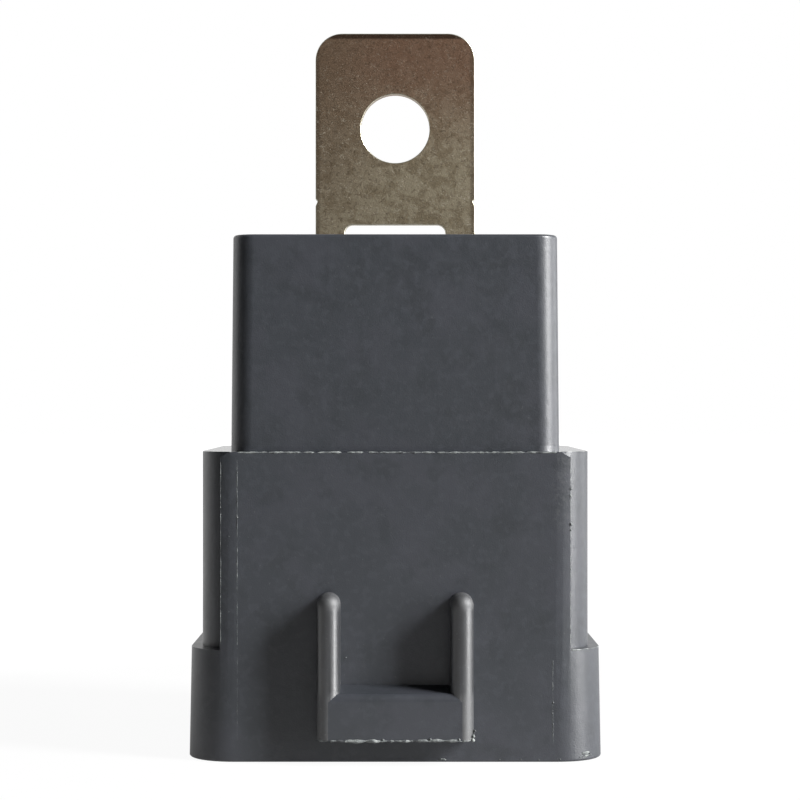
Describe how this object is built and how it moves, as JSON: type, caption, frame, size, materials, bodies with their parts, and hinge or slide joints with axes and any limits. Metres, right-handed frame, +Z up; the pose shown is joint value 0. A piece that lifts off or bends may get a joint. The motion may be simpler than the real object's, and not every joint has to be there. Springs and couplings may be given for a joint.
{
  "type": "automotive relay",
  "caption": "Plug-in automotive relay in a moulded cover with a weatherproof plug skirt, a U-shaped catch lock and a forked steel bolt tab.",
  "frame": {"origin": "centre of the plug socket's mouth, on the plane of the skirt's rim that the relay stands on", "axes": "+X to the right seen from the latch side, -Y towards the latch side, +Z up the relay to its bolt tab"},
  "size_m": [0.0354, 0.0352, 0.0662],
  "materials": {
    "cover_plastic": "dark grey moulded nylon, dry satin, with fine flash at its edges",
    "tab_steel": "plated sheet steel, dull bronze-grey with fine speckle",
    "base_plastic": "black glass-filled nylon",
    "epoxy": "black potting resin, glossy",
    "tinned_brass": "tin-plated brass, satin",
    "copper_alloy": "bare bronze strip, satin",
    "magnet_iron": "zinc-plated soft iron",
    "bobbin_plastic": "natural nylon",
    "copper_wire": "enamelled copper wire, glossy",
    "contact_silver": "silver alloy, satin",
    "spring_steel": "drawn spring wire",
    "resistor_body": "lacquered blue-grey"
  },
  "bodies": {
    "relay": {"housing": "cover_plastic", "bracket": "tab_steel", "base": "base_plastic", "seal_bead": "epoxy", "terminal_30": "tinned_brass", "terminal_85": "tinned_brass", "terminal_86": "tinned_brass", "terminal_87": "tinned_brass", "terminal_87a": "tinned_brass", "yoke": "magnet_iron", "core": "magnet_iron", "bobbin": "bobbin_plastic", "winding": "copper_wire", "resistor": "resistor_body", "contact_no": "contact_silver", "contact_nc": "contact_silver", "return_spring": "spring_steel", "braid": "copper_wire"},
    "armature_set": {"armature": "magnet_iron", "contact_arm": "copper_alloy", "arm_rivets": "tinned_brass", "moving_contact": "contact_silver"}
  },
  "joints": [
    {"name": "armature_hinge", "type": "hinge", "parent": "relay", "child": "armature_set", "pos_m": [0, 0.0101, 0.03706], "axis": [1, 0, 0], "range_deg": [0, 3.2], "stiffness_Nm_per_rad": 0.03, "springref_deg": -5.16, "deforming": ["return_spring", "braid"]}
  ]
}
